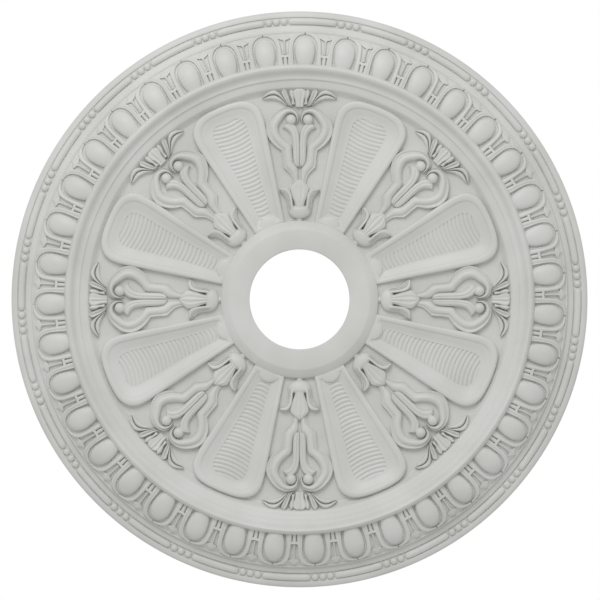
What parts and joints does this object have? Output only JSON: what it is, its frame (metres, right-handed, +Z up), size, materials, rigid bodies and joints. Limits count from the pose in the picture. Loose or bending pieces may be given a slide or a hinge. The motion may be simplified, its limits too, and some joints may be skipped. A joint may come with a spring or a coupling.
{
  "type": "ceiling rose",
  "caption": "Round moulded ceiling rose with an egg-and-dart ring, reeded panels and scroll ornament around a plain hub with an open centre hole.",
  "frame": {"origin": "centre of the hole, in the plane of the flat back that lies against the ceiling", "axes": "+Z up into the ceiling, the carved face looks along -Z; -Y is the picture's up and +X its right for someone who looks up at the rose"},
  "size_m": [0.72, 0.72, 0.0405],
  "materials": {
    "ceiling_rose": "white factory primer on moulded rigid urethane foam, satin"
  },
  "bodies": {
    "root": {"ceiling_rose": "ceiling_rose"}
  },
  "joints": []
}
